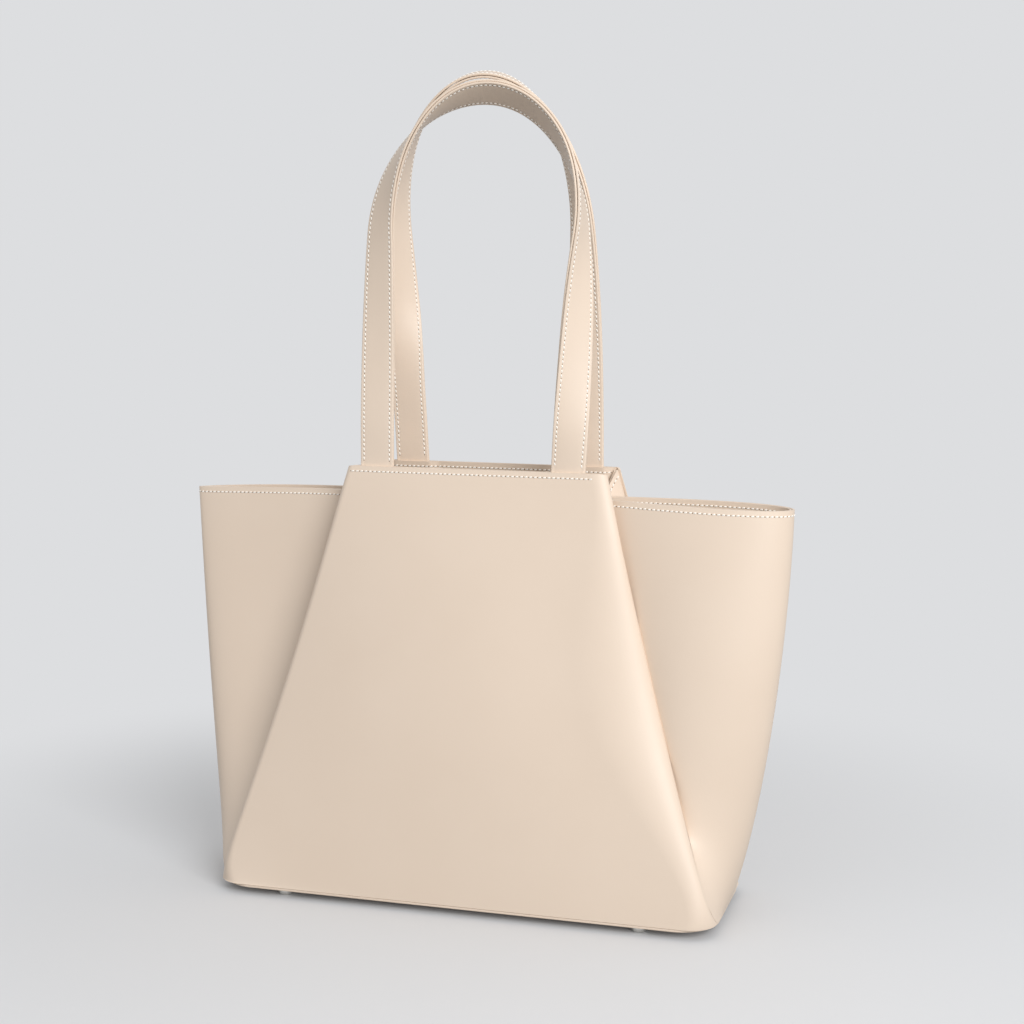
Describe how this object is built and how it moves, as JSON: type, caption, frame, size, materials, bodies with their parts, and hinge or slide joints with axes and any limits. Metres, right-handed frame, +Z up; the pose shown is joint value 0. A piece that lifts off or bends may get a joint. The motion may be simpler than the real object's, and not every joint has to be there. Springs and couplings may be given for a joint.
{
  "type": "tote bag",
  "caption": "Smooth leather shoulder tote with a trapezoid front and back, pleated side wings, twisted strap handles and small metal base feet; opens at the top.",
  "frame": {"origin": "on the floor under the middle of the bag", "axes": "+Z up, +X to the bag's right as seen from the front, front towards -Y"},
  "size_m": [0.402, 0.11, 0.5388],
  "materials": {
    "leather": "smooth cream calf leather with a fine grain and a soft satin sheen",
    "lining": "plain woven cream lining",
    "board": "plain polyethylene bag board",
    "metal": "polished pale nickel plating"
  },
  "bodies": {
    "bag_body": {"front_panel": "leather", "back_panel": "leather", "front_facing": "leather", "back_facing": "leather", "front_left_strap_end": "leather", "front_right_strap_end": "leather", "back_left_strap_end": "leather", "back_right_strap_end": "leather", "base_panel": "leather", "front_lining": "lining", "back_lining": "lining", "base_lining": "lining", "base_board": "board", "front_left_foot": "metal", "front_left_foot_washer": "metal", "front_right_foot": "metal", "front_right_foot_washer": "metal", "back_left_foot": "metal", "back_left_foot_washer": "metal", "back_right_foot": "metal", "back_right_foot_washer": "metal"},
    "front_handle": {"front_handle_strap": "leather", "front_handle_backing": "leather"},
    "back_handle": {"back_handle_strap": "leather", "back_handle_backing": "leather"},
    "left_wing": {"left_wing": "leather", "left_wing_facing": "leather", "left_wing_front_pleat": "leather", "left_wing_back_pleat": "leather", "left_wing_lining": "lining"},
    "right_wing": {"right_wing": "leather", "right_wing_facing": "leather", "right_wing_front_pleat": "leather", "right_wing_back_pleat": "leather", "right_wing_lining": "lining"}
  },
  "joints": [
    {"name": "front_handle_fold", "type": "hinge", "parent": "bag_body", "child": "front_handle", "pos_m": [0, -0.021, 0.2853], "axis": [1, 0, 0], "range_deg": [0, 165]},
    {"name": "back_handle_fold", "type": "hinge", "parent": "bag_body", "child": "back_handle", "pos_m": [0, 0.021, 0.2853], "axis": [-1, 0, 0], "range_deg": [0, 165]},
    {"name": "left_wing_fold", "type": "hinge", "parent": "bag_body", "child": "left_wing", "pos_m": [-0.168, 0, 0.0069], "axis": [0, 1, 0], "range_deg": [0, 10], "stiffness_Nm_per_rad": 3},
    {"name": "right_wing_fold", "type": "hinge", "parent": "bag_body", "child": "right_wing", "pos_m": [0.168, 0, 0.0069], "axis": [0, -1, 0], "range_deg": [0, 10], "stiffness_Nm_per_rad": 3}
  ]
}
